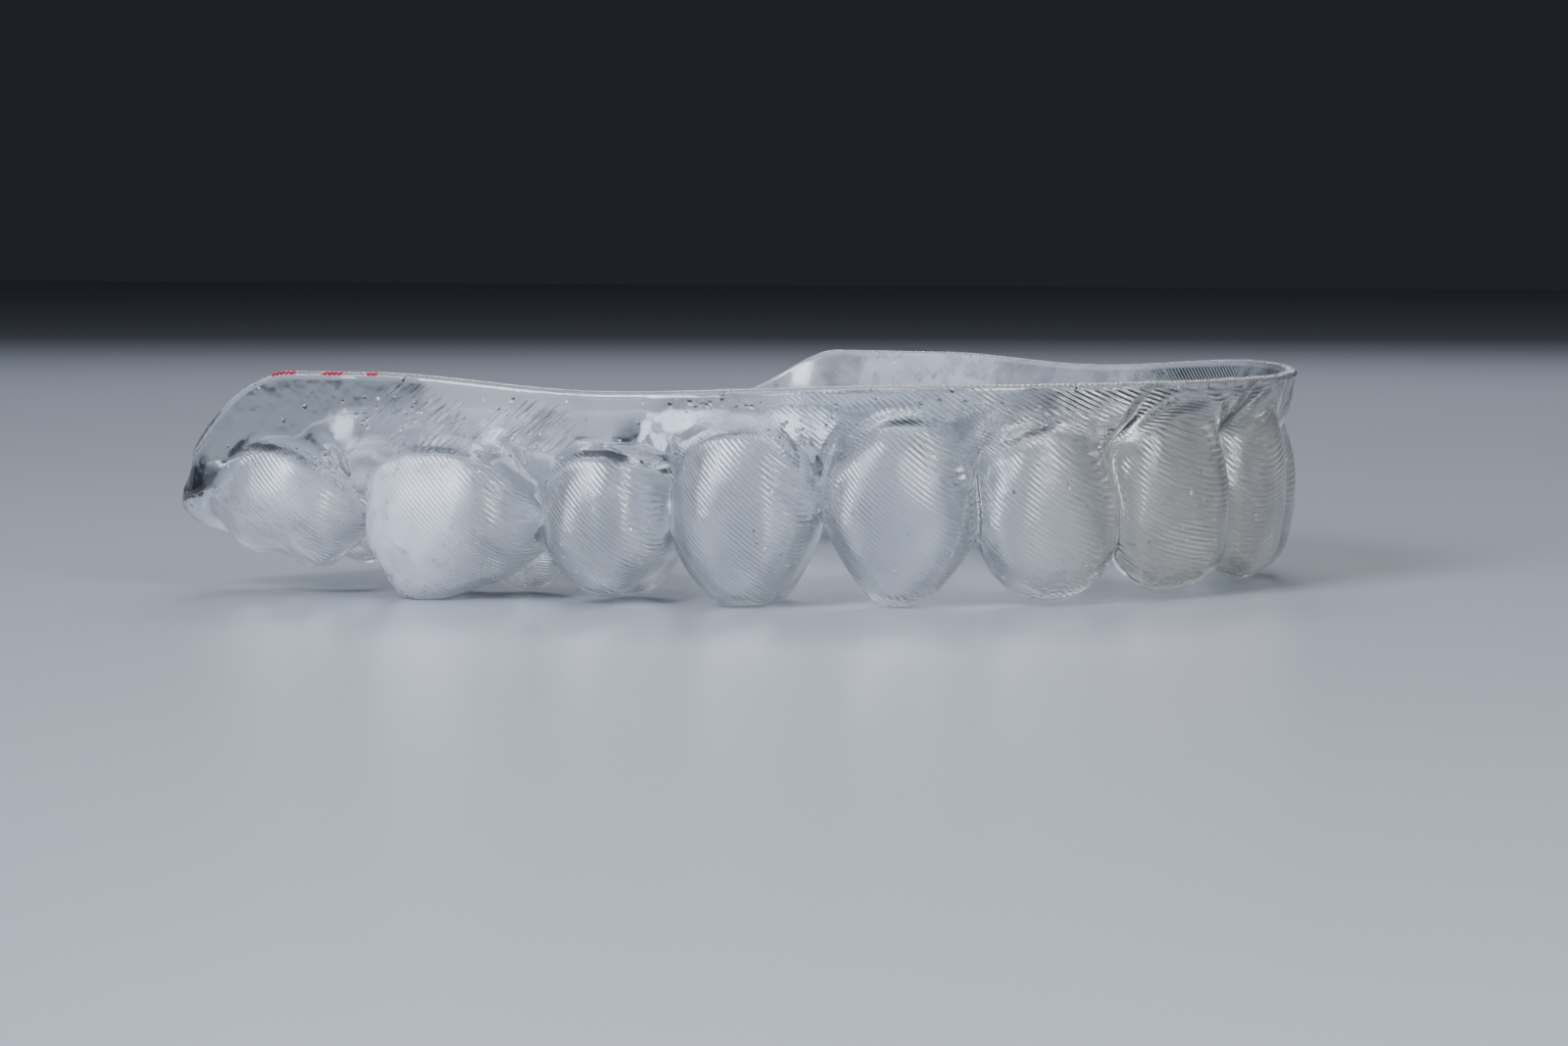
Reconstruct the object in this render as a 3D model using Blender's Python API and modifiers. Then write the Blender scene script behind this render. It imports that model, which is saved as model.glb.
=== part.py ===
"""Clear upper aligner: one thermoformed shell over fourteen teeth and a band of gum.

It lies on its tooth tips with the trimmed edge up. +Y points to the front teeth, X = 0 is the
midline, and the origin is the middle of the footprint on the surface that it lies on.
"""

import math
from collections import namedtuple

import bmesh
import bpy
import numpy as np

MM = 0.001

# Plastic sheet after forming
WALL = 0.7 * MM
CREASE_BLEND = 1.0 * MM
CORNER_BLEND = 1.7 * MM
GUM_BLEND = 0.5 * MM

# Arch: each half is one cubic curve through the biting edges and the outer cusps
ARCH_HALF_WIDTH = 29.1 * MM
ARCH_DEPTH = 50.0 * MM
FRONT_REACH = 25.6 * MM
SIDE_REACH = 14.0 * MM
SPREAD = 1.4 * MM

# Middle line of the crowns, measured inwards from the arch curve
INSET_FRONT = 0.9 * MM
INSET_BACK = 3.2 * MM
INSET_START = 13.0 * MM
INSET_END = 30.0 * MM

# Trimmed edge, heights above the surface; the cut wanders, so each side has its own
TRIM_MIDLINE = 11.85 * MM
TRIM_INNER_FRONT = 10.6 * MM
TRIM_INNER_MOLAR = 9.8 * MM
RIGHT_TRIM_CANINE = 11.85 * MM
RIGHT_TRIM_PREMOLAR = 11.45 * MM
RIGHT_TRIM_MOLAR = 12.33 * MM
RIGHT_TRIM_BACK = 7.2 * MM
LEFT_TRIM_CANINE = 12.25 * MM
LEFT_TRIM_PREMOLAR = 11.6 * MM
LEFT_TRIM_MOLAR = 12.15 * MM
LEFT_TRIM_BACK = 9.1 * MM

# Gum band
GUM_STEP = 0.5 * MM
RIGHT_GUM_BEHIND = 1.9 * MM
LEFT_GUM_BEHIND = 2.6 * MM
BACK_SWELL = 0.9 * MM
BACK_SWELL_HEIGHT = 5.0 * MM
BACK_SWELL_SPREAD = 1.3 * MM
GUM_LIP = 0.2
GUM_LIP_START = 9.8 * MM
PAPILLA_DEPTH = 2.2 * MM
PAPILLA_RISE = 2.6 * MM
PAPILLA_NARROWNESS = 5.0
PAPILLA_BEHIND = 3.4 * MM
MARGIN_CURVE = 2.2
GUM_INNER_FLARE = 0.35
INNER_MARGIN_DROP = 0.8 * MM

# Crown widths along the arch
CENTRAL_WIDTH = 9.0 * MM
LATERAL_WIDTH = 7.9 * MM
CANINE_WIDTH = 8.5 * MM
FIRST_PREMOLAR_WIDTH = 8.2 * MM
SECOND_PREMOLAR_WIDTH = 7.2 * MM
FIRST_MOLAR_WIDTH = 10.6 * MM
SECOND_MOLAR_WIDTH = 10.4 * MM

# Mesh fineness, and how near two points become one
WELD = 0.08 * MM
SIDE_COLUMNS = 44
END_COLUMNS = 10
WALL_ROWS = 5
BITE_ROWS = 9
TURN_HEIGHT = 5.5 * MM
RAY_LENGTH = 13.0 * MM
RAY_STEPS = 52

# What differs between the right and left halves; the edge stays level up to hold, a share of the arch
Side = namedtuple("Side", "sign canine premolar molar hold back behind")

SIDES = (
    Side(
        sign=1.0,
        canine=RIGHT_TRIM_CANINE,
        premolar=RIGHT_TRIM_PREMOLAR,
        molar=RIGHT_TRIM_MOLAR,
        hold=0.95,
        back=RIGHT_TRIM_BACK,
        behind=RIGHT_GUM_BEHIND,
    ),
    Side(
        sign=-1.0,
        canine=LEFT_TRIM_CANINE,
        premolar=LEFT_TRIM_PREMOLAR,
        molar=LEFT_TRIM_MOLAR,
        hold=1.01,
        back=LEFT_TRIM_BACK,
        behind=LEFT_GUM_BEHIND,
    ),
)

# A cusp's place along the arch, its place outwards, the height of its tip and its spread
Cusp = namedtuple("Cusp", "along outwards height spread")

# Shares and reaches run from the tip, over two swells, up to the neck
Crown = namedtuple(
    "Crown",
    "width margin papilla groove rises width_shares outer_reach inner_reach squareness cusps",
)

CROWNS = (
    Crown(
        width=CENTRAL_WIDTH,
        margin=10.6 * MM,
        papilla=8.3 * MM,
        groove=0.3 * MM,
        rises=(0.9 * MM, 1.2 * MM),
        width_shares=(0.86, 1.10, 1.10, 0.80),
        outer_reach=(1.2 * MM, 2.3 * MM, 2.8 * MM, 1.4 * MM),
        inner_reach=(1.0 * MM, 1.6 * MM, 4.8 * MM, 6.0 * MM),
        squareness=2.6,
        cusps=(),
    ),
    Crown(
        width=LATERAL_WIDTH,
        margin=9.6 * MM,
        papilla=7.8 * MM,
        groove=0.15 * MM,
        rises=(1.8 * MM, 1.9 * MM),
        width_shares=(0.78, 1.10, 1.10, 0.80),
        outer_reach=(1.3 * MM, 2.6 * MM, 3.1 * MM, 1.5 * MM),
        inner_reach=(1.0 * MM, 1.6 * MM, 4.4 * MM, 5.7 * MM),
        squareness=2.5,
        cusps=(),
    ),
    Crown(
        width=CANINE_WIDTH,
        margin=9.95 * MM,
        papilla=7.4 * MM,
        groove=3.4 * MM,
        rises=(0.2 * MM, 1.8 * MM),
        width_shares=(0.70, 1.08, 1.06, 0.78),
        outer_reach=(1.0 * MM, 2.8 * MM, 3.3 * MM, 1.8 * MM),
        inner_reach=(1.1 * MM, 2.4 * MM, 5.5 * MM, 6.5 * MM),
        squareness=2.4,
        cusps=(Cusp(0.0, 0.0, -0.35 * MM, 2.6 * MM),),
    ),
    Crown(
        width=FIRST_PREMOLAR_WIDTH,
        margin=9.6 * MM,
        papilla=5.1 * MM,
        groove=2.9 * MM,
        rises=(1.6 * MM, 0.3 * MM),
        width_shares=(0.72, 1.08, 1.06, 0.78),
        outer_reach=(1.2 * MM, 2.8 * MM, 3.2 * MM, 1.6 * MM),
        inner_reach=(6.6 * MM, 7.9 * MM, 8.2 * MM, 7.2 * MM),
        squareness=2.6,
        cusps=(
            Cusp(0.0, 0.0, -0.35 * MM, 2.5 * MM),
            Cusp(-0.6 * MM, -5.2 * MM, -0.2 * MM, 1.9 * MM),
        ),
    ),
    Crown(
        width=SECOND_PREMOLAR_WIDTH,
        margin=8.2 * MM,
        papilla=7.2 * MM,
        groove=2.9 * MM,
        rises=(0.2 * MM, 0.2 * MM),
        width_shares=(0.74, 1.08, 1.06, 0.78),
        outer_reach=(1.2 * MM, 2.6 * MM, 3.1 * MM, 1.6 * MM),
        inner_reach=(6.6 * MM, 8.0 * MM, 8.3 * MM, 7.2 * MM),
        squareness=2.6,
        cusps=(
            Cusp(0.0, 0.0, 0.35 * MM, 2.4 * MM),
            Cusp(-0.4 * MM, -5.3 * MM, 0.2 * MM, 1.9 * MM),
        ),
    ),
    Crown(
        width=FIRST_MOLAR_WIDTH,
        margin=8.3 * MM,
        papilla=5.4 * MM,
        groove=3.3 * MM,
        rises=(0.2 * MM, 0.2 * MM),
        width_shares=(0.80, 1.06, 1.04, 0.80),
        outer_reach=(1.4 * MM, 3.1 * MM, 3.6 * MM, 2.1 * MM),
        inner_reach=(7.8 * MM, 9.6 * MM, 9.8 * MM, 8.6 * MM),
        squareness=3.0,
        cusps=(
            Cusp(-2.9 * MM, -0.3 * MM, 1.5 * MM, 1.8 * MM),
            Cusp(1.7 * MM, 0.0, -0.6 * MM, 2.1 * MM),
            Cusp(-2.2 * MM, -5.9 * MM, 0.1 * MM, 2.1 * MM),
            Cusp(2.8 * MM, -5.6 * MM, 0.8 * MM, 1.8 * MM),
        ),
    ),
    Crown(
        width=SECOND_MOLAR_WIDTH,
        margin=8.2 * MM,
        papilla=5.0 * MM,
        groove=4.2 * MM,
        rises=(0.0, 0.6 * MM),
        width_shares=(0.78, 1.04, 1.04, 0.80),
        outer_reach=(1.3 * MM, 2.6 * MM, 3.1 * MM, 1.9 * MM),
        inner_reach=(7.6 * MM, 9.2 * MM, 9.4 * MM, 8.4 * MM),
        squareness=2.4,
        cusps=(
            Cusp(-2.3 * MM, -0.1 * MM, 1.35 * MM, 1.8 * MM),
            Cusp(2.2 * MM, -0.3 * MM, 2.3 * MM, 1.6 * MM),
            Cusp(-2.2 * MM, -5.7 * MM, 1.4 * MM, 1.9 * MM),
            Cusp(2.2 * MM, -5.2 * MM, 2.4 * MM, 1.7 * MM),
        ),
    ),
)


def smooth_step(value, low, high):
    """0 below low, 1 above high, and an even S curve between them."""
    t = np.clip((value - low) / (high - low), 0.0, 1.0)
    return t * t * (3.0 - 2.0 * t)


def smooth_min(a, b, blend):
    """The smaller of two fields, with a fillet where they meet."""
    near = np.maximum(blend - np.abs(a - b), 0.0) / blend
    return np.minimum(a, b) - near * near * blend / 4.0


def smooth_max(a, b, blend):
    """The larger of two fields, with a round edge where they meet."""
    return -smooth_min(-a, -b, blend)


def swell(share, values):
    """Cubic blend of four values from the tip, at share 0, to the neck, at share 1."""
    t = np.clip(share, 0.0, 1.0)
    u = 1.0 - t
    return values[0] * u**3 + 3 * values[1] * t * u**2 + 3 * values[2] * t**2 * u + values[3] * t**3


def wave(place, stops, heights):
    """A line through heights at stops, level at each stop."""
    line = np.full(np.shape(place), heights[0])
    for start, end, low, high in zip(stops, stops[1:], heights, heights[1:]):
        line = line + (high - low) * smooth_step(place, start, end)
    return line


def arch_table():
    """Arc length, points and outward normals of the right half of the arch curve."""
    t = np.linspace(0.0, 1.0, 801)[:, None]
    hook = np.array((ARCH_HALF_WIDTH - SPREAD, SIDE_REACH - ARCH_DEPTH))
    end = np.array((ARCH_HALF_WIDTH, -ARCH_DEPTH))
    front = np.array((FRONT_REACH, 0.0))
    points = 3 * (1 - t) ** 2 * t * front + 3 * (1 - t) * t**2 * hook + t**3 * end
    slopes = 3 * (1 - t) ** 2 * front + 6 * (1 - t) * t * (hook - front) + 3 * t**2 * (end - hook)
    tangents = slopes / np.linalg.norm(slopes, axis=1)[:, None]
    normals = np.stack((-tangents[:, 1], tangents[:, 0]), axis=1)
    steps = np.linalg.norm(np.diff(points, axis=0), axis=1)
    lengths = np.concatenate(((0.0,), np.cumsum(steps)))
    return lengths, points, normals


def along_arch(table, place):
    """Points and unit outward normals at arc lengths from the midline."""
    lengths, points, normals = table
    point = np.stack([np.interp(place, lengths, points[:, axis]) for axis in (0, 1)], axis=-1)
    normal = np.stack([np.interp(place, lengths, normals[:, axis]) for axis in (0, 1)], axis=-1)
    return point, normal / np.linalg.norm(normal, axis=-1, keepdims=True)


def crown_centres():
    """Arc length of the middle of each crown, from the midline."""
    widths = np.array([crown.width for crown in CROWNS])
    return np.cumsum(widths) - widths / 2


def inset(place):
    """How far the crowns' middle line lies inside the arch curve."""
    return INSET_FRONT + (INSET_BACK - INSET_FRONT) * smooth_step(place, INSET_START, INSET_END)


def height_share(crown, height):
    """0 at a crown's lowest tip and 1 at its gum margin."""
    lowest = min([crown.groove] + [cusp.height for cusp in crown.cusps])
    return (height - lowest) / (crown.margin - lowest)


def crown_field(crown, along, outwards, height):
    """Signed distance, roughly, to one crown's outer surface in its own frame."""
    share = height_share(crown, height)
    half_width = swell(share, crown.width_shares) * crown.width / 2
    outer = swell(share, crown.outer_reach)
    inner = swell(share, crown.inner_reach)
    half_depth = (outer + inner) / 2
    centred = outwards - (outer - inner) / 2
    power = crown.squareness
    ring = (np.abs(along / half_width) ** power + np.abs(centred / half_depth) ** power) ** (1 / power)
    side = (ring - 1.0) * np.minimum(half_width, half_depth)
    bite = np.full(np.shape(height), crown.groove)
    for cusp in crown.cusps:
        gap = (along - cusp.along) ** 2 + (outwards - cusp.outwards) ** 2
        bite = bite - (crown.groove - cusp.height) * np.exp(-gap / (2 * cusp.spread**2))
    rise = np.where(along < 0.0, crown.rises[0], crown.rises[1])
    bite = bite + rise * np.abs(2 * along / crown.width) ** 3
    return smooth_max(side, bite - height, CORNER_BLEND)


def teeth_field(table, points, height):
    """The crowns of the right half, and the left central that meets them at the midline."""
    field = None
    for crown, centre in zip(CROWNS, crown_centres()):
        origin, outward = along_arch(table, centre)
        for mirror in (1.0, -1.0) if crown is CROWNS[0] else (1.0,):
            offset = points * (mirror, 1.0) - origin
            outwards = offset @ outward
            along = offset @ np.array((outward[1], -outward[0]))
            distance = crown_field(crown, along, outwards, height)
            field = distance if field is None else smooth_min(field, distance, CREASE_BLEND)
    return field


def loop_places():
    """Arc length and turn of each column: out along the cheek side, round the back, home inside."""
    end = sum(crown.width for crown in CROWNS) - CROWNS[-1].inner_reach[1] / 2
    out = np.linspace(0.0, end, SIDE_COLUMNS + 1)
    turn = np.linspace(0.0, math.pi, END_COLUMNS + 1)[1:-1]
    place = np.concatenate((out, np.full(turn.size, end), out[::-1]))
    angle = np.concatenate((np.zeros(out.size), turn, np.full(out.size, math.pi)))
    return place, angle


def gum_margin(place, angle):
    """Height of the gum's scalloped edge, and how near each column is to a papilla."""
    widths = np.array([crown.width for crown in CROWNS])
    ends = np.concatenate(((0.0,), np.cumsum(widths)))
    index = np.clip(np.searchsorted(ends, place, side="right") - 1, 0, len(CROWNS) - 1)
    margins = np.array([crown.margin for crown in CROWNS])[index]
    near = np.array([crown.papilla for crown in CROWNS])[index]
    far = np.array([crown.papilla for crown in CROWNS[1:]] + [PAPILLA_BEHIND])[index]
    across = (place - crown_centres()[index]) / (widths[index] / 2)
    margin = margins - (margins - np.where(across < 0.0, near, far)) * np.abs(across) ** MARGIN_CURVE
    nearness = np.abs(across) ** PAPILLA_NARROWNESS * np.abs(np.cos(angle))
    return margin - (margin - PAPILLA_BEHIND) * np.sin(angle), nearness


def outer_gum_reach(place, height):
    """Cheek side of the gum from the middle line: upright at the necks, with a lip at the edge."""
    necks = [crown.outer_reach[3] for crown in CROWNS]
    reach = np.interp(place, crown_centres(), necks) + inset(place) + GUM_STEP
    return reach + GUM_LIP * np.maximum(height - GUM_LIP_START, 0.0)


def inner_gum_reach(place, height):
    """Palate side of the gum from the middle line, following the crowns on either side."""
    centres = crown_centres()
    reach = GUM_STEP - inset(place) + GUM_INNER_FLARE * (height - TURN_HEIGHT)
    for crown, own in zip(CROWNS, np.eye(len(CROWNS))):
        reach = reach + np.interp(place, centres, own) * swell(height_share(crown, height), crown.inner_reach)
    return reach


def trim_line(side, place, angle):
    """Height of the trimmed edge for each column of the loop."""
    end = place.max()
    back = math.pi * (CROWNS[-1].outer_reach[1] + CROWNS[-1].inner_reach[1]) / 2
    run = np.where(angle == 0.0, place, 2 * end - place + back * angle / math.pi)
    stops = (0.0, 0.36, 0.63, 0.86, side.hold)
    stops = [stop * end for stop in stops] + [end + 0.45 * back, end + 0.6 * back, end + back, 2 * end + back]
    heights = (
        TRIM_MIDLINE,
        side.canine,
        side.premolar,
        side.molar,
        side.molar,
        side.back,
        side.back,
        TRIM_INNER_MOLAR,
        TRIM_INNER_FRONT,
    )
    return wave(run, stops, heights)


def gum_field(side, place, angle, reach, height):
    """Signed distance to the gum band, in the upright plane of each column."""
    margin, nearness = gum_margin(place, angle)
    across = np.where(angle < math.pi / 2, outer_gum_reach(place, height), inner_gum_reach(place, height))
    behind = sum(crown.width for crown in CROWNS) - place.max() + side.behind
    behind = behind + BACK_SWELL * np.exp(-(((height - BACK_SWELL_HEIGHT) / BACK_SWELL_SPREAD) ** 2))
    limit = 1.0 / np.sqrt((np.cos(angle) / across) ** 2 + (np.sin(angle) / behind) ** 2)
    low = margin - INNER_MARGIN_DROP * (0.5 - 0.5 * np.cos(angle))
    hollow = PAPILLA_DEPTH * nearness * (1.0 - smooth_step(height, low, low + PAPILLA_RISE))
    return smooth_max(reach - limit + hollow, low - height, GUM_BLEND)


def shell_points(table, side):
    """Outer surface of one half: points down each column, from the trimmed edge to the middle."""
    place, angle = loop_places()
    point, outward = along_arch(table, place)
    origin = point - outward * inset(place)[:, None]
    forward = np.stack((outward[:, 1], -outward[:, 0]), axis=1)
    heading = outward * np.cos(angle)[:, None] + forward * np.sin(angle)[:, None]
    falls = np.linspace(0.0, 1.0, WALL_ROWS + 1)[:-1]
    turns = np.linspace(0.0, math.pi / 2, BITE_ROWS + 1)
    start = trim_line(side, place, angle)[:, None] * (1 - falls) + TURN_HEIGHT * falls
    start = np.concatenate((start, np.full((place.size, turns.size), TURN_HEIGHT)), axis=1)
    tilt = np.broadcast_to(np.concatenate((np.zeros(falls.size), turns)), start.shape)
    ray = np.linspace(0.0, RAY_LENGTH, RAY_STEPS + 1)

    def field(length):
        reach = length * np.cos(tilt)[..., None]
        height = start[..., None] - length * np.sin(tilt)[..., None]
        spot = origin[:, None, None] + reach[..., None] * heading[:, None, None]
        teeth = teeth_field(table, spot, height)
        gum = gum_field(side, place[:, None, None], angle[:, None, None], reach, height)
        return smooth_min(teeth, gum, GUM_BLEND)

    inside = field(np.broadcast_to(ray, start.shape + ray.shape)) < 0.0
    last = ray.size - 1 - np.argmax(inside[..., ::-1], axis=-1)
    low = ray[last]
    high = ray[np.minimum(last + 1, ray.size - 1)]
    for _ in range(12):
        middle = (low + high) / 2
        solid = field(middle[..., None])[..., 0] < 0.0
        low = np.where(solid, middle, low)
        high = np.where(solid, high, middle)
    reach = low * np.cos(tilt)
    height = np.maximum(start - low * np.sin(tilt), 0.0)
    spot = (origin[:, None] + reach[..., None] * heading[:, None]) * (side.sign, 1.0)
    return np.concatenate((spot, height[..., None]), axis=-1)


def clear_plastic():
    """Clear copolyester sheet."""
    material = bpy.data.materials.new("clear_copolyester")
    material.use_nodes = True
    shader = material.node_tree.nodes["Principled BSDF"]
    shader.inputs["Base Color"].default_value = (0.82, 0.85, 0.88, 1.0)
    shader.inputs["Roughness"].default_value = 0.12
    shader.inputs["Metallic"].default_value = 0.0
    shader.inputs["IOR"].default_value = 1.57
    shader.inputs["Transmission Weight"].default_value = 0.9
    return material


def aligner_shell(collection):
    """Both halves as one open surface, joined at the midline and given its wall."""
    table = arch_table()
    halves = np.stack([shell_points(table, side) for side in SIDES])
    halves[..., 1] -= (halves[..., 1].min() + halves[..., 1].max()) / 2
    columns, rows = halves.shape[1] - 1, halves.shape[2] - 1
    grid = bmesh.new()
    for side, points in zip(SIDES, halves):
        fresh = bmesh.ops.create_grid(grid, x_segments=columns, y_segments=rows, size=0.5)["verts"]
        for vertex in fresh:
            column = round((vertex.co.x + 0.5) * columns)
            row = round((vertex.co.y + 0.5) * rows)
            vertex.co = points[column, row]
        if side.sign < 0:
            bmesh.ops.reverse_faces(grid, faces=list({face for vertex in fresh for face in vertex.link_faces}))
    bmesh.ops.remove_doubles(grid, verts=grid.verts[:], dist=WELD)
    mesh = bpy.data.meshes.new("aligner_shell")
    grid.to_mesh(mesh)
    grid.free()
    shell = bpy.data.objects.new("aligner_shell", mesh)
    collection.objects.link(shell)
    mesh.materials.append(clear_plastic())
    mesh.shade_smooth()
    solidify = shell.modifiers.new("Sheet thickness", "SOLIDIFY")
    solidify.thickness = WALL
    solidify.offset = -1.0
    return shell


def main():
    for old in list(bpy.data.objects):
        bpy.data.objects.remove(old)
    collection = bpy.data.collections.new("clear_aligner")
    bpy.context.scene.collection.children.link(collection)
    aligner_shell(collection)


main()
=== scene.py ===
"""Looks of the clear aligner: the formed sheet with its finishes, in a plain soft studio.

The sheet here is the one of the solid model, drawn finer: crisper creases, a true inner face and
a rounded trimmed edge. All sizes are in metres, +Z is up, +Y points to the front teeth.
"""

import logging
import math
from collections.abc import Sequence
from dataclasses import dataclass
from enum import Enum
from typing import Any

import bmesh
import bpy
import numpy as np
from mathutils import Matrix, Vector


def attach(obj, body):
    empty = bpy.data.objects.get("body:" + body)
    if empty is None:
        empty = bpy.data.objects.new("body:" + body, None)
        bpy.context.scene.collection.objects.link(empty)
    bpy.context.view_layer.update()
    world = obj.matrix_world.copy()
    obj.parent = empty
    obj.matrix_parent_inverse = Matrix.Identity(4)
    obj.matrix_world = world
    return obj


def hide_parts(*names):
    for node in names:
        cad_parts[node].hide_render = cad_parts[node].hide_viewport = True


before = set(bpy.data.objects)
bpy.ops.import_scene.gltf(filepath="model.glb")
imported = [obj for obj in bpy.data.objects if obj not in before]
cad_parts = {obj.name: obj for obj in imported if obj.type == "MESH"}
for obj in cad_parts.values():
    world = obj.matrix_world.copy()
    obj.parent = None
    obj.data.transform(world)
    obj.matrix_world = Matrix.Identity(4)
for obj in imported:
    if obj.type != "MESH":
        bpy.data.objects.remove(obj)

MM = 0.001
LOG = logging.getLogger("clear_aligner")

Table = tuple[np.ndarray, np.ndarray, np.ndarray]
Tree = bpy.types.NodeTree
Socket = bpy.types.NodeSocket


class Side(Enum):
    """Which half of the arch, as the sign of its X."""

    RIGHT = 1.0
    LEFT = -1.0


class Face(Enum):
    """Which face of the sheet a polygon belongs to, as its material's place on the mesh."""

    OUTSIDE = 0
    INSIDE = 1
    EDGE = 2


def mm(*sizes: float) -> tuple[float, ...]:
    """Sizes in millimetres, as metres."""
    return tuple(size * MM for size in sizes)


def smooth_step(value: np.ndarray, low: Any, high: Any) -> np.ndarray:
    """An even S curve, 0 up to low and 1 from high on."""
    t = np.clip((value - low) / (high - low), 0.0, 1.0)
    return t * t * (3.0 - 2.0 * t)


def smooth_min(a: np.ndarray, b: np.ndarray, blend: float) -> np.ndarray:
    """The smaller of two fields, with a fillet of size blend where they meet."""
    near = np.maximum(blend - np.abs(a - b), 0.0) / blend
    return np.minimum(a, b) - near * near * blend / 4.0


def smooth_max(a: np.ndarray, b: np.ndarray, blend: float) -> np.ndarray:
    """The larger of two fields, with a round edge of size blend where they meet."""
    return -smooth_min(-a, -b, blend)


def swell(share: np.ndarray, values: Sequence[float]) -> np.ndarray:
    """Cubic blend of four values.

    Args:
        share: 0 at a crown's tip and 1 at its neck.
        values: The value at the tip, two swells, and the value at the neck.

    Returns:
        The blended value at each share.
    """
    t = np.clip(share, 0.0, 1.0)
    u = 1.0 - t
    return values[0] * u**3 + 3 * values[1] * t * u**2 + 3 * values[2] * t**2 * u + values[3] * t**3


def wave(place: np.ndarray, stops: Sequence[float], heights: Sequence[float]) -> np.ndarray:
    """A line through heights at stops, level at each stop.

    Args:
        place: Where to read the line.
        stops: Places where the line is level.
        heights: Its height at each of them.

    Returns:
        The line's height at each place.
    """
    line = np.full(np.shape(place), heights[0])
    for start, end, low, high in zip(stops, stops[1:], heights, heights[1:]):
        line = line + (high - low) * smooth_step(place, start, end)
    return line


@dataclass(frozen=True)
class Arch:
    """The dental arch. Each half is one cubic curve through the biting edges and outer cusps."""

    half_width: float = 29.1 * MM
    depth: float = 50.0 * MM
    front_reach: float = 25.6 * MM
    side_reach: float = 14.0 * MM
    spread: float = 1.4 * MM
    inset_front: float = 0.9 * MM
    inset_back: float = 3.2 * MM
    inset_start: float = 13.0 * MM
    inset_end: float = 30.0 * MM
    samples: int = 801

    def table(self) -> Table:
        """The right half of the curve, from the midline back.

        Returns:
            Arc lengths, points and unit normals that point outwards.
        """
        t = np.linspace(0.0, 1.0, self.samples)[:, None]
        hook = np.array((self.half_width - self.spread, self.side_reach - self.depth))
        end = np.array((self.half_width, -self.depth))
        front = np.array((self.front_reach, 0.0))
        points = 3 * (1 - t) ** 2 * t * front + 3 * (1 - t) * t**2 * hook + t**3 * end
        slopes = 3 * (1 - t) ** 2 * front + 6 * (1 - t) * t * (hook - front) + 3 * t**2 * (end - hook)
        tangents = slopes / np.linalg.norm(slopes, axis=1)[:, None]
        normals = np.stack((-tangents[:, 1], tangents[:, 0]), axis=1)
        steps = np.linalg.norm(np.diff(points, axis=0), axis=1)
        return np.concatenate(((0.0,), np.cumsum(steps))), points, normals

    def at(self, table: Table, place: Any) -> tuple[np.ndarray, np.ndarray]:
        """Points on the curve.

        Args:
            table: The curve as table gives it.
            place: Arc lengths from the midline.

        Returns:
            The points, and the unit normals that point outwards.
        """
        lengths, points, normals = table
        point = np.stack([np.interp(place, lengths, points[:, axis]) for axis in (0, 1)], axis=-1)
        normal = np.stack([np.interp(place, lengths, normals[:, axis]) for axis in (0, 1)], axis=-1)
        return point, normal / np.linalg.norm(normal, axis=-1, keepdims=True)

    def inset(self, place: np.ndarray) -> np.ndarray:
        """How far the crowns' middle line lies inside the curve at these arc lengths."""
        return self.inset_front + (self.inset_back - self.inset_front) * smooth_step(
            place, self.inset_start, self.inset_end
        )


@dataclass(frozen=True)
class Cusp:
    """One cusp: its place along the arch and outwards, the height of its tip, and its spread."""

    along: float
    outwards: float
    height: float
    spread: float


@dataclass(frozen=True)
class Crown:
    """One tooth pocket. Shares and reaches run from the tip, over two swells, up to the neck."""

    width: float
    margin: float
    papilla: float
    groove: float
    rises: tuple[float, float]
    width_shares: tuple[float, ...]
    outer_reach: tuple[float, ...]
    inner_reach: tuple[float, ...]
    squareness: float
    cusps: tuple[Cusp, ...] = ()

    def lowest(self) -> float:
        """Height of the crown's lowest tip."""
        return min([self.groove] + [cusp.height for cusp in self.cusps])

    def height_share(self, height: np.ndarray) -> np.ndarray:
        """0 at the crown's lowest tip and 1 at its gum margin."""
        return (height - self.lowest()) / (self.margin - self.lowest())

    def field(
        self, along: np.ndarray, outwards: np.ndarray, height: np.ndarray, blend: float
    ) -> np.ndarray:
        """Signed distance, roughly, to the crown's outer surface in its own frame.

        Args:
            along: Distance along the arch from the crown's middle, backwards.
            outwards: Distance outwards from the arch curve.
            height: Height above the surface that the part lies on.
            blend: Roundness of the biting edge.

        Returns:
            The field, negative inside.
        """
        share = self.height_share(height)
        half_width = swell(share, self.width_shares) * self.width / 2
        outer = swell(share, self.outer_reach)
        inner = swell(share, self.inner_reach)
        half_depth = (outer + inner) / 2
        centred = outwards - (outer - inner) / 2
        power = self.squareness
        ring = (np.abs(along / half_width) ** power + np.abs(centred / half_depth) ** power) ** (1 / power)
        side = (ring - 1.0) * np.minimum(half_width, half_depth)
        bite = np.full(np.shape(height), self.groove)
        for cusp in self.cusps:
            gap = (along - cusp.along) ** 2 + (outwards - cusp.outwards) ** 2
            bite = bite - (self.groove - cusp.height) * np.exp(-gap / (2 * cusp.spread**2))
        rise = np.where(along < 0.0, self.rises[0], self.rises[1])
        bite = bite + rise * np.abs(2 * along / self.width) ** 3
        return smooth_max(side, bite - height, blend)


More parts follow.
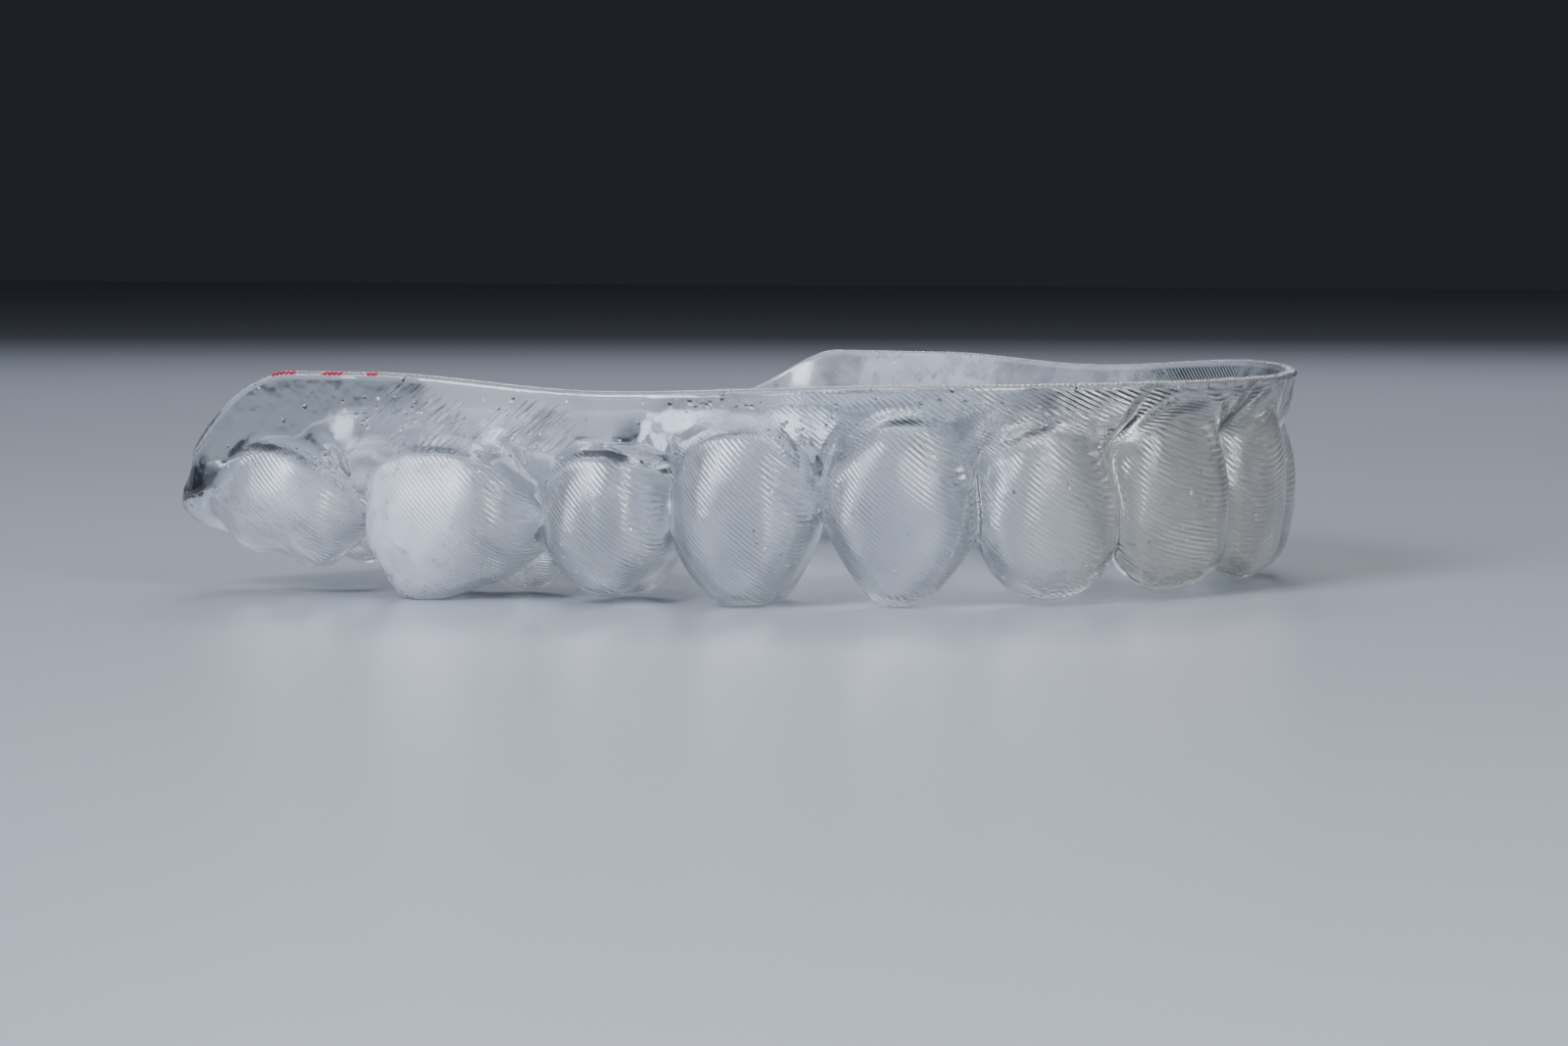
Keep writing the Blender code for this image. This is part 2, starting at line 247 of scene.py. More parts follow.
CENTRAL = Crown(
    width=9.0 * MM,
    margin=10.6 * MM,
    papilla=8.3 * MM,
    groove=0.3 * MM,
    rises=mm(0.9, 1.2),
    width_shares=(0.86, 1.10, 1.10, 0.80),
    outer_reach=mm(1.2, 2.3, 2.8, 1.4),
    inner_reach=mm(1.0, 1.6, 4.8, 6.0),
    squareness=2.6,
)
LATERAL = Crown(
    width=7.9 * MM,
    margin=9.6 * MM,
    papilla=7.8 * MM,
    groove=0.15 * MM,
    rises=mm(1.8, 1.9),
    width_shares=(0.78, 1.10, 1.10, 0.80),
    outer_reach=mm(1.3, 2.6, 3.1, 1.5),
    inner_reach=mm(1.0, 1.6, 4.4, 5.7),
    squareness=2.5,
)
CANINE = Crown(
    width=8.5 * MM,
    margin=9.95 * MM,
    papilla=7.4 * MM,
    groove=3.4 * MM,
    rises=mm(0.2, 1.8),
    width_shares=(0.70, 1.08, 1.06, 0.78),
    outer_reach=mm(1.0, 2.8, 3.3, 1.8),
    inner_reach=mm(1.1, 2.4, 5.5, 6.5),
    squareness=2.4,
    cusps=(Cusp(*mm(0.0, 0.0, -0.35, 2.6)),),
)
FIRST_PREMOLAR = Crown(
    width=8.2 * MM,
    margin=9.6 * MM,
    papilla=5.1 * MM,
    groove=2.9 * MM,
    rises=mm(1.6, 0.3),
    width_shares=(0.72, 1.08, 1.06, 0.78),
    outer_reach=mm(1.2, 2.8, 3.2, 1.6),
    inner_reach=mm(6.6, 7.9, 8.2, 7.2),
    squareness=2.6,
    cusps=(
        Cusp(*mm(0.0, 0.0, -0.35, 2.5)),
        Cusp(*mm(-0.6, -5.2, -0.2, 1.9)),
    ),
)
SECOND_PREMOLAR = Crown(
    width=7.2 * MM,
    margin=8.2 * MM,
    papilla=7.2 * MM,
    groove=2.9 * MM,
    rises=mm(0.2, 0.2),
    width_shares=(0.74, 1.08, 1.06, 0.78),
    outer_reach=mm(1.2, 2.6, 3.1, 1.6),
    inner_reach=mm(6.6, 8.0, 8.3, 7.2),
    squareness=2.6,
    cusps=(
        Cusp(*mm(0.0, 0.0, 0.35, 2.4)),
        Cusp(*mm(-0.4, -5.3, 0.2, 1.9)),
    ),
)
FIRST_MOLAR = Crown(
    width=10.6 * MM,
    margin=8.3 * MM,
    papilla=5.4 * MM,
    groove=3.3 * MM,
    rises=mm(0.2, 0.2),
    width_shares=(0.80, 1.06, 1.04, 0.80),
    outer_reach=mm(1.4, 3.1, 3.6, 2.1),
    inner_reach=mm(7.8, 9.6, 9.8, 8.6),
    squareness=3.0,
    cusps=(
        Cusp(*mm(-2.9, -0.3, 1.5, 1.8)),
        Cusp(*mm(1.7, 0.0, -0.6, 2.1)),
        Cusp(*mm(-2.2, -5.9, 0.1, 2.1)),
        Cusp(*mm(2.8, -5.6, 0.8, 1.8)),
    ),
)
SECOND_MOLAR = Crown(
    width=10.4 * MM,
    margin=8.2 * MM,
    papilla=5.0 * MM,
    groove=4.2 * MM,
    rises=mm(0.0, 0.6),
    width_shares=(0.78, 1.04, 1.04, 0.80),
    outer_reach=mm(1.3, 2.6, 3.1, 1.9),
    inner_reach=mm(7.6, 9.2, 9.4, 8.4),
    squareness=2.4,
    cusps=(
        Cusp(*mm(-2.3, -0.1, 1.35, 1.8)),
        Cusp(*mm(2.2, -0.3, 2.3, 1.6)),
        Cusp(*mm(-2.2, -5.7, 1.4, 1.9)),
        Cusp(*mm(2.2, -5.2, 2.4, 1.7)),
    ),
)


@dataclass(frozen=True)
class ToothRow:
    """The seven pockets of one half, from the midline back."""

    arch: Arch
    crowns: tuple[Crown, ...] = (
        CENTRAL,
        LATERAL,
        CANINE,
        FIRST_PREMOLAR,
        SECOND_PREMOLAR,
        FIRST_MOLAR,
        SECOND_MOLAR,
    )
    crease_blend: float = 0.4 * MM
    corner_blend: float = 1.7 * MM
    border_start: float = 0.84
    border_end: float = 0.97
    border_squareness: float = 3.0

    def widths(self) -> np.ndarray:
        """Width of each crown."""
        return np.array([crown.width for crown in self.crowns])

    def centres(self) -> np.ndarray:
        """Arc length of the middle of each crown."""
        widths = self.widths()
        return np.cumsum(widths) - widths / 2

    def length(self) -> float:
        """Arc length of the whole row."""
        return float(self.widths().sum())

    def crown_at(self, place: np.ndarray) -> tuple[np.ndarray, np.ndarray]:
        """Which crown each arc length belongs to.

        Args:
            place: Arc lengths from the midline.

        Returns:
            The crown's number, and the place across it from -1 to 1.
        """
        widths = self.widths()
        ends = np.concatenate(((0.0,), np.cumsum(widths)))
        index = np.clip(np.searchsorted(ends, place, side="right") - 1, 0, len(self.crowns) - 1)
        return index, (place - self.centres()[index]) / (widths[index] / 2)

    def window(self, place: np.ndarray, height: np.ndarray) -> np.ndarray:
        """The silvery window of each crown, inside its clear border.

        Args:
            place: Arc length of each point.
            height: Its height.

        Returns:
            1 in the window and 0 on the border.
        """
        index, across = self.crown_at(place)
        tops = np.array([crown.margin for crown in self.crowns])[index]
        tips = np.array([crown.lowest() for crown in self.crowns])[index]
        upright = (2 * height - tops - tips) / (tops - tips)
        power = self.border_squareness
        away = (np.abs(across) ** power + np.abs(upright) ** power) ** (1 / power)
        return 1.0 - smooth_step(away, self.border_start, self.border_end)

    def field(self, table: Table, points: np.ndarray, height: np.ndarray) -> np.ndarray:
        """The crowns of one half, and the central across the midline.

        Args:
            table: The arch curve.
            points: Places in plan.
            height: Their heights.

        Returns:
            Signed distance, roughly, negative inside.
        """
        joined = None
        for crown, centre in zip(self.crowns, self.centres()):
            origin, outward = self.arch.at(table, centre)
            for mirror in (1.0, -1.0) if crown is self.crowns[0] else (1.0,):
                offset = points * (mirror, 1.0) - origin
                outwards = offset @ outward
                along = offset @ np.array((outward[1], -outward[0]))
                distance = crown.field(along, outwards, height, self.corner_blend)
                joined = distance if joined is None else smooth_min(joined, distance, self.crease_blend)
        return joined


@dataclass(frozen=True)
class GumBand:
    """The band of gum above the crowns: its scalloped margin, hollows and slope."""

    row: ToothRow
    step: float = 0.5 * MM
    lip: float = 0.2
    lip_start: float = 9.8 * MM
    lip_round: float = 1.2 * MM
    back_swell: float = 0.9 * MM
    back_swell_height: float = 5.0 * MM
    back_swell_spread: float = 1.3 * MM
    papilla_depth: float = 2.2 * MM
    papilla_rise: float = 2.6 * MM
    papilla_narrowness: float = 5.0
    papilla_behind: float = 3.4 * MM
    margin_curve: float = 2.2
    inner_flare: float = 0.35
    inner_drop: float = 0.8 * MM
    turn_height: float = 5.5 * MM
    blend: float = 0.4 * MM

    def margin(self, place: np.ndarray, angle: np.ndarray) -> tuple[np.ndarray, np.ndarray]:
        """The scalloped edge.

        Args:
            place: Arc length of each column.
            angle: Turn of each column, from the cheek side to the tongue side.

        Returns:
            The edge's height, and how near each column is to a papilla, from 0 to 1.
        """
        crowns = self.row.crowns
        index, across = self.row.crown_at(place)
        margins = np.array([crown.margin for crown in crowns])[index]
        near = np.array([crown.papilla for crown in crowns])[index]
        far = np.array([crown.papilla for crown in crowns[1:]] + [self.papilla_behind])[index]
        papilla = np.where(across < 0.0, near, far)
        margin = margins - (margins - papilla) * np.abs(across) ** self.margin_curve
        nearness = np.abs(across) ** self.papilla_narrowness * np.abs(np.cos(angle))
        return margin - (margin - self.papilla_behind) * np.sin(angle), nearness

    def outer_reach(self, place: np.ndarray, height: np.ndarray) -> np.ndarray:
        """Cheek side of the band: upright at the necks, with a lip at the edge.

        Args:
            place: Arc length of each column.
            height: Height above the surface.

        Returns:
            How far the band's cheek side lies from the middle line.
        """
        necks = [crown.outer_reach[3] for crown in self.row.crowns]
        reach = np.interp(place, self.row.centres(), necks) + self.row.arch.inset(place) + self.step
        above = height - self.lip_start
        return reach + self.lip * (above + np.hypot(above, self.lip_round)) / 2

    def inner_reach(self, place: np.ndarray, height: np.ndarray) -> np.ndarray:
        """Palate side of the band, which follows the crowns on either side.

        Args:
            place: Arc length of each column.
            height: Height above the surface.

        Returns:
            How far the band's palate side lies from the middle line.
        """
        centres = self.row.centres()
        reach = self.step - self.row.arch.inset(place) + self.inner_flare * (height - self.turn_height)
        for crown, own in zip(self.row.crowns, np.eye(len(self.row.crowns))):
            bulge = swell(crown.height_share(height), crown.inner_reach)
            reach = reach + np.interp(place, centres, own) * bulge
        return reach

    def field(
        self, place: np.ndarray, angle: np.ndarray, reach: np.ndarray, height: np.ndarray, behind: float
    ) -> np.ndarray:
        """Signed distance to the band, in the upright plane of each column.

        Args:
            place: Arc length of each column.
            angle: Its turn.
            reach: Distance from the middle line.
            height: Height above the surface.
            behind: How far the band reaches behind the end of the middle line.

        Returns:
            The field, negative inside.
        """
        margin, nearness = self.margin(place, angle)
        outer_side = angle < math.pi / 2
        across = np.where(outer_side, self.outer_reach(place, height), self.inner_reach(place, height))
        from_swell = (height - self.back_swell_height) / self.back_swell_spread
        back = behind + self.back_swell * np.exp(-(from_swell**2))
        limit = 1.0 / np.sqrt((np.cos(angle) / across) ** 2 + (np.sin(angle) / back) ** 2)
        low = margin - self.inner_drop * (0.5 - 0.5 * np.cos(angle))
        hollow = self.papilla_depth * nearness * (1.0 - smooth_step(height, low, low + self.papilla_rise))
        return smooth_max(reach - limit + hollow, low - height, self.blend)


@dataclass(frozen=True)
class Half:
    """What is a half's own: its side, the heights of its trimmed edge, and its reach at the back.

    The edge stays level along the molars up to hold, a share of the half's length.
    """

    side: Side
    canine: float
    premolar: float
    molar: float
    hold: float
    back: float
    behind: float
    midline: float = 11.85 * MM
    inner_molar: float = 9.8 * MM
    inner_front: float = 10.6 * MM
    outer_shares: tuple[float, ...] = (0.0, 0.36, 0.63, 0.86)
    turn_shares: tuple[float, ...] = (0.45, 0.6, 1.0)

    def trim(self, place: np.ndarray, angle: np.ndarray, turn: float) -> np.ndarray:
        """Height of the trimmed edge, out along the cheek side, round the back and home inside.

        Args:
            place: Arc length of each column.
            angle: Its turn.
            turn: Length of the way round the back.

        Returns:
            The height at each column.
        """
        end = float(place.max())
        run = np.where(angle == 0.0, place, 2 * end - place + turn * angle / math.pi)
        stops = [share * end for share in (*self.outer_shares, self.hold)]
        stops += [end + share * turn for share in self.turn_shares] + [2 * end + turn]
        heights = (self.midline, self.canine, self.premolar, self.molar, self.molar)
        heights += (self.back, self.back, self.inner_molar, self.inner_front)
        return wave(run, stops, heights)


RIGHT_HALF = Half(
    side=Side.RIGHT,
    canine=11.85 * MM,
    premolar=11.45 * MM,
    molar=12.33 * MM,
    hold=0.95,
    back=7.2 * MM,
    behind=1.9 * MM,
)
LEFT_HALF = Half(
    side=Side.LEFT,
    canine=12.25 * MM,
    premolar=11.6 * MM,
    molar=12.15 * MM,
    hold=1.01,
    back=9.1 * MM,
    behind=2.6 * MM,
)


def linear(code: str) -> tuple[float, float, float, float]:
    """An sRGB hex colour such as D8DCE0 as linear red, green, blue and alpha."""
    parts = [int(code[start : start + 2], 16) / 255 for start in (0, 2, 4)]
    return (*(part / 12.92 if part <= 0.04045 else ((part + 0.055) / 1.055) ** 2.4 for part in parts), 1.0)


def add_node(
    tree: Tree, kind: str, inputs: dict[Any, Any] | None = None, **settings: Any
) -> bpy.types.Node:
    """Add one node with its settings and links.

    Args:
        tree: The node tree.
        kind: The node's type name, without the leading ShaderNode.
        inputs: Value or output socket for each input, by name or number.
        settings: Properties of the node itself.

    Returns:
        The node.
    """
    node = tree.nodes.new("ShaderNode" + kind)
    for name, value in settings.items():
        setattr(node, name, value)
    for name, value in (inputs or {}).items():
        if isinstance(value, Socket):
            tree.links.new(value, node.inputs[name])
        else:
            node.inputs[name].default_value = value
    return node


@dataclass(frozen=True)
class SheetFinish:
    """Clear copolyester sheet, thermoformed over a printed model.

    The printed model's layers leave fine steps in the sheet. They catch the light as lines and
    make the crowns look silvery, and between the crowns the sheet stays as clear as glass.
    """

    name: str
    clear: str = "F4F7FA"
    amber: str = "F9F8F2"
    chalk: str = "EEF1F7"
    ior: float = 1.57
    roughness: float = 0.05
    crown_roughness: float = 0.09
    crown_haze: float = 0.0
    frost_roughness: float = 0.42
    frost_haze: float = 0.38
    frost_size: float = 1.1 * MM
    frost_limits: tuple[float, float] = (0.34, 0.6)
    frost_least: float = 0.4
    # The real steps are 0.17 to 0.2 mm apart, which is too fine to show, so they are drawn coarser.
    layer_height: float = 0.22 * MM
    layer_tilt: float = 45.0
    layer_depth: float = 0.011 * MM
    fade_size: float = 3.2 * MM
    fade_limits: tuple[float, float] = (0.35, 0.6)
    fade_least: float = 0.5
    peel_size: float = 1.6 * MM
    peel_depth: float = 0.03 * MM
    grain_size: float = 0.14 * MM
    grain_depth: float = 0.0012 * MM
    speck_size: float = 0.5 * MM
    speck_radii: tuple[float, float] = (0.1, 0.3)
    speck_share: float = 0.06
    pit_share: float = 0.95
    speck_depth: float = 0.04 * MM
    dust_radius: float = 0.11
    dust_share: float = 0.2
    dust_haze: float = 0.7
    scratch_width: float = 0.16 * MM
    scratch_length: float = 2.4 * MM
    scratch_angle: float = 40.0
    scratch_limits: tuple[float, float] = (0.56, 0.7)
    scratch_depth: float = 0.03 * MM

    def frost_and_painted_light_haze(self, tree: Tree, place: Socket, frost: Socket) -> Socket:
        """The frosted spots, and the painted light on the far half, which is laid in as the same chalky
        haze.

        Args:
            tree: The node tree.
            place: Object coordinates.
            frost: The mark that covers the spots.

        Returns:
            How frosted each point is, with the painted light on the far half, in small clouds, from 0 to 1.
        """
        scale, least = 1 / self.frost_size, self.frost_least
        clouds = add_node(
            tree, "TexNoise", {"Vector": place, "Scale": scale, "Detail": 4.0, "Roughness": 0.6}
        ).outputs["Fac"]
        low, high = self.frost_limits
        clouds = add_node(
            tree, "MapRange", {"Value": clouds, "From Min": low, "From Max": high, "To Min": least}
        ).outputs["Result"]
        return add_node(tree, "Math", {0: clouds, 1: frost}, operation="MULTIPLY").outputs[0]

    def layer_steps(self, tree: Tree, place: Socket, lines: Socket) -> Socket:
        """The printed model's layers, as level waves on planes that lean back.

        Args:
            tree: The node tree.
            place: Object coordinates.
            lines: The mark that covers the crowns.

        Returns:
            The steps' height, from -1 to 1.
        """
        tilt = math.radians(self.layer_tilt)
        across = add_node(
            tree, "VectorMath", {0: place, 1: (0.0, math.cos(tilt), math.sin(tilt))}, operation="DOT_PRODUCT"
        ).outputs["Value"]
        turns = 2 * math.pi / self.layer_height
        phase = add_node(tree, "Math", {0: across, 1: turns}, operation="MULTIPLY").outputs[0]
        steps = add_node(tree, "Math", {0: phase}, operation="SINE").outputs[0]
        fade = add_node(
            tree, "TexNoise", {"Vector": place, "Scale": 1 / self.fade_size, "Detail": 1.0}
        ).outputs["Fac"]
        low, high = self.fade_limits
        fade = add_node(
            tree, "MapRange", {"Value": fade, "From Min": low, "From Max": high, "To Min": self.fade_least}
        ).outputs["Result"]
        strength = add_node(tree, "Math", {0: lines, 1: fade}, operation="MULTIPLY").outputs[0]
        return add_node(tree, "Math", {0: steps, 1: strength}, operation="MULTIPLY").outputs[0]

    def specks(self, tree: Tree, place: Socket, pits: Socket) -> tuple[Socket, Socket]:
        """Small bubbles, and dust on the sheet.

        Args:
            tree: The node tree.
            place: Object coordinates.
            pits: The mark where the bubbles crowd.

        Returns:
            The bubbles' depth and the dust's cover, both from 0 to 1.
        """
        cells = add_node(tree, "TexVoronoi", {"Vector": place, "Scale": 1 / self.speck_size}).outputs
        lots = add_node(tree, "SeparateColor", {"Color": cells["Color"]}).outputs
        core, rim = self.speck_radii
        bubble = add_node(
            tree,
            "MapRange",
            {"Value": cells["Distance"], "From Min": core, "From Max": rim, "To Min": 1.0, "To Max": 0.0},
            interpolation_type="SMOOTHSTEP",
        ).outputs["Result"]
        share = add_node(
            tree, "MapRange", {"Value": pits, "To Min": self.speck_share, "To Max": self.pit_share}
        ).outputs["Result"]
        chosen = add_node(tree, "Math", {0: lots["Red"], 1: share}, operation="LESS_THAN").outputs[0]
        dusty, small = (
            add_node(tree, "Math", {0: value, 1: limit}, operation="LESS_THAN").outputs[0]
            for value, limit in ((lots["Green"], self.dust_share), (cells["Distance"], self.dust_radius))
        )
        bubbles, dust = (
            add_node(tree, "Math", {0: one, 1: other}, operation="MULTIPLY").outputs[0]
            for one, other in ((bubble, chosen), (dusty, small))
        )
        return bubbles, dust

    def grooves(self, tree: Tree, place: Socket, scratched: Socket) -> Socket:
        """Fine scratches, all at one slant.

        Args:
            tree: The node tree.
            place: Object coordinates.
            scratched: The mark that covers the scratched spots.

        Returns:
            The scratches' depth, from 0 to 1.
        """
        lean = math.radians(self.scratch_angle)
        sideways, lengthways = (
            add_node(tree, "VectorMath", {0: place, 1: way}, operation="DOT_PRODUCT").outputs["Value"]
            for way in (
                (0.0, -math.sin(lean) / self.scratch_width, math.cos(lean) / self.scratch_width),
                (0.0, math.cos(lean) / self.scratch_length, math.sin(lean) / self.scratch_length),
            )
        )
        streaks = add_node(tree, "CombineXYZ", {"X": sideways, "Y": lengthways}).outputs["Vector"]
        streaks = add_node(tree, "TexNoise", {"Vector": streaks, "Scale": 1.0, "Detail": 2.0}).outputs["Fac"]
        low, high = self.scratch_limits
        streaks = add_node(
            tree, "MapRange", {"Value": streaks, "From Min": low, "From Max": high}
        ).outputs["Result"]
        return add_node(tree, "Math", {0: streaks, 1: scratched}, operation="MULTIPLY").outputs[0]

    def material(self) -> bpy.types.Material:
        """Join the finish's parts in one shader.

        Returns:
            A material that reads the mesh's own marks.
        """
        material = bpy.data.materials.new(self.name)
        material.use_nodes = True
        tree = material.node_tree
        shader = tree.nodes["Principled BSDF"]
        place = add_node(tree, "TexCoord").outputs["Object"]
        crown, lines, frost, pits, tint, scratched = (
            add_node(tree, "Attribute", attribute_name=name).outputs["Fac"]
            for name in ("crown", "lines", "frost", "pits", "tint", "scratches")
        )
        frost_and_painted_light_haze = self.frost_and_painted_light_haze(tree, place, frost)
        steps = self.layer_steps(tree, place, lines)
        bubbles, dust = self.specks(tree, place, pits)
        scratches = self.grooves(tree, place, scratched)
        peel, grain = (
            add_node(
                tree, "TexNoise", {"Vector": place, "Scale": 1 / size, "Detail": 2.0, "Roughness": roughness}
            ).outputs["Fac"]
            for size, roughness in ((self.peel_size, 0.5), (self.grain_size, 0.6))
        )
        normal = add_node(tree, "Bump", {"Height": peel, "Distance": self.peel_depth}).outputs["Normal"]
        for height, depth, sunken in (
            (steps, self.layer_depth, False),
            (grain, self.grain_depth, False),
            (bubbles, self.speck_depth, True),
            (scratches, self.scratch_depth, True),
        ):
            normal = add_node(
                tree, "Bump", {"Height": height, "Distance": depth, "Normal": normal}, invert=sunken
            ).outputs["Normal"]
        colour = add_node(
            tree, "Mix", {"Factor": tint, 6: linear(self.clear), 7: linear(self.amber)}, data_type="RGBA"
        ).outputs[2]
        # Chalk where the frost mark is: real frosting, and on the far half painted light.
        colour = add_node(
            tree, "Mix", {"Factor": frost_and_painted_light_haze, 6: colour, 7: linear(self.chalk)}, data_type="RGBA"
        ).outputs[2]
        rough = add_node(
            tree, "Mix", {"Factor": crown, 2: self.roughness, 3: self.roughness + self.crown_roughness}
        ).outputs[0]
        rough = add_node(tree, "Mix", {"Factor": frost_and_painted_light_haze, 2: rough, 3: self.frost_roughness}).outputs[0]
        haze = add_node(tree, "Math", {0: crown, 1: self.crown_haze}, operation="MULTIPLY").outputs[0]
        haze = add_node(tree, "Mix", {"Factor": frost_and_painted_light_haze, 2: haze, 3: self.frost_haze}).outputs[0]
        haze = add_node(tree, "Mix", {"Factor": dust, 2: haze, 3: self.dust_haze}).outputs[0]
        clear = add_node(tree, "Math", {0: 1.0, 1: haze}, operation="SUBTRACT").outputs[0]
        tree.links.new(colour, shader.inputs["Base Color"])
        tree.links.new(rough, shader.inputs["Roughness"])
        tree.links.new(clear, shader.inputs["Transmission Weight"])
        tree.links.new(normal, shader.inputs["Normal"])
        shader.inputs["IOR"].default_value = self.ior
        return material


@dataclass(frozen=True)
class EdgeFinish:
    """The trimmed edge: cut with a bur, so it is ribbed across and a little dull, with old red ink."""

    name: str
    plastic: str = "DCDCD4"
    ink: str = "8C1030"
    ior: float = 1.57
    roughness: float = 0.25
    haze: float = 0.08
    ink_haze: float = 0.9
    ink_limits: tuple[float, float] = (0.2, 0.34)
    rib_pitch: float = 0.3 * MM
    rib_depth: float = 0.035 * MM
    chip_size: float = 0.5 * MM

    def material(self) -> bpy.types.Material:
        """Join the ribs, the chips and the ink in one shader.

        Returns:
            A material that reads the run along the edge.
        """
        material = bpy.data.materials.new(self.name)
        material.use_nodes = True
        tree = material.node_tree
        shader = tree.nodes["Principled BSDF"]
        place = add_node(tree, "TexCoord").outputs["Object"]
        run, ink = (
            add_node(tree, "Attribute", attribute_name=name).outputs["Fac"] for name in ("run", "ink")
        )
        turns = 2 * math.pi / self.rib_pitch
        phase = add_node(tree, "Math", {0: run, 1: turns}, operation="MULTIPLY").outputs[0]
        ribs = add_node(tree, "Math", {0: phase}, operation="SINE").outputs[0]
        chips = add_node(
            tree, "TexNoise", {"Vector": place, "Scale": 1 / self.chip_size, "Detail": 3.0}
        ).outputs["Fac"]
        relief, inked = (
            add_node(tree, "Math", {0: value, 1: chips}, operation="MULTIPLY").outputs[0]
            for value in (ribs, ink)
        )
        normal = add_node(tree, "Bump", {"Height": relief, "Distance": self.rib_depth}).outputs["Normal"]
        low, high = self.ink_limits
        inked = add_node(
            tree, "MapRange", {"Value": inked, "From Min": low, "From Max": high}
        ).outputs["Result"]
        colour = add_node(
            tree, "Mix", {"Factor": inked, 6: linear(self.plastic), 7: linear(self.ink)}, data_type="RGBA"
        ).outputs[2]
        haze = add_node(tree, "Mix", {"Factor": inked, 2: self.haze, 3: self.ink_haze}).outputs[0]
        clear = add_node(tree, "Math", {0: 1.0, 1: haze}, operation="SUBTRACT").outputs[0]
        tree.links.new(colour, shader.inputs["Base Color"])
        tree.links.new(clear, shader.inputs["Transmission Weight"])
        tree.links.new(normal, shader.inputs["Normal"])
        shader.inputs["Roughness"].default_value = self.roughness
        shader.inputs["IOR"].default_value = self.ior
        return material


@dataclass(frozen=True)
class Patch:
    """A spot on the cheek side: arc length and height of its middle, and its half sizes.

    The spot is full up to one share of its half sizes, and has faded away at another.
    """

    place: float
    height: float
    long: float
    tall: float
    strength: float = 1.0
    full: float = 0.45
    gone: float = 1.15

    def cover(self, place: np.ndarray, height: np.ndarray) -> np.ndarray:
        """How strongly the spot covers each point, from 0 to its strength."""
        away = np.hypot((place - self.place) / self.long, (height - self.height) / self.tall)
        return self.strength * (1.0 - smooth_step(away, self.full, self.gone))


@dataclass(frozen=True)
class Marks:
    """Where the sheet is frosted, pitted, scratched and inked, from the forming and from wear, and where
    light on the far half is painted in as chalky haze.
    """

    frost: tuple[Patch, ...] = (
        Patch(*mm(47.9, 4.6, 4.6, 6.4)),
        Patch(*mm(55.2, 6.3, 2.8, 2.6), 0.4),
    )
    band_frost: tuple[Patch, ...] = (
        Patch(*mm(29.6, 9.9, 2.8, 0.6), 0.9),
        Patch(*mm(48.5, 9.2, 4.4, 1.6), 0.25),
    )
    pits: tuple[Patch, ...] = (
        Patch(*mm(13.6, 1.1, 1.7, 1.1)),
        Patch(*mm(5.0, 0.9, 2.4, 1.0)),
        Patch(*mm(31.0, 10.8, 2.6, 0.6)),
        Patch(*mm(25.6, 9.6, 2.6, 1.4), 0.6),
        Patch(*mm(48.0, 10.2, 3.4, 1.2), 0.6),
    )
    # Painted light: chalky haze on the far half's molars and premolars, standing in for the top and back
    # light falling on the far arm.
    far_arm_painted_light: tuple[Patch, ...] = (
        Patch(*mm(50.0, 10.4, 9.0, 4.4), 0.85),
        Patch(*mm(36.0, 10.5, 7.0, 3.0), 0.5),
    )
    scratches: tuple[Patch, ...] = (
        Patch(*mm(46.6, 9.6, 3.6, 2.0)),
        Patch(*mm(40.2, 9.4, 2.4, 1.6), 0.8),
        Patch(*mm(55.0, 5.0, 1.6, 1.2), 0.7),
    )
    ink: tuple[Patch, ...] = (
        Patch(*mm(54.7, 12.1, 1.1, 0.6), 0.8),
        Patch(*mm(51.6, 12.2, 0.9, 0.6)),
        Patch(*mm(49.2, 12.2, 0.6, 0.6), 0.9),
    )
    left_frost: float = 0.45
    band_lines: float = 0.3
    band_lines_start: float = 34.0 * MM
    band_lines_end: float = 22.0 * MM
    tint_start: float = 19.0 * MM
    tint_end: float = 4.0 * MM


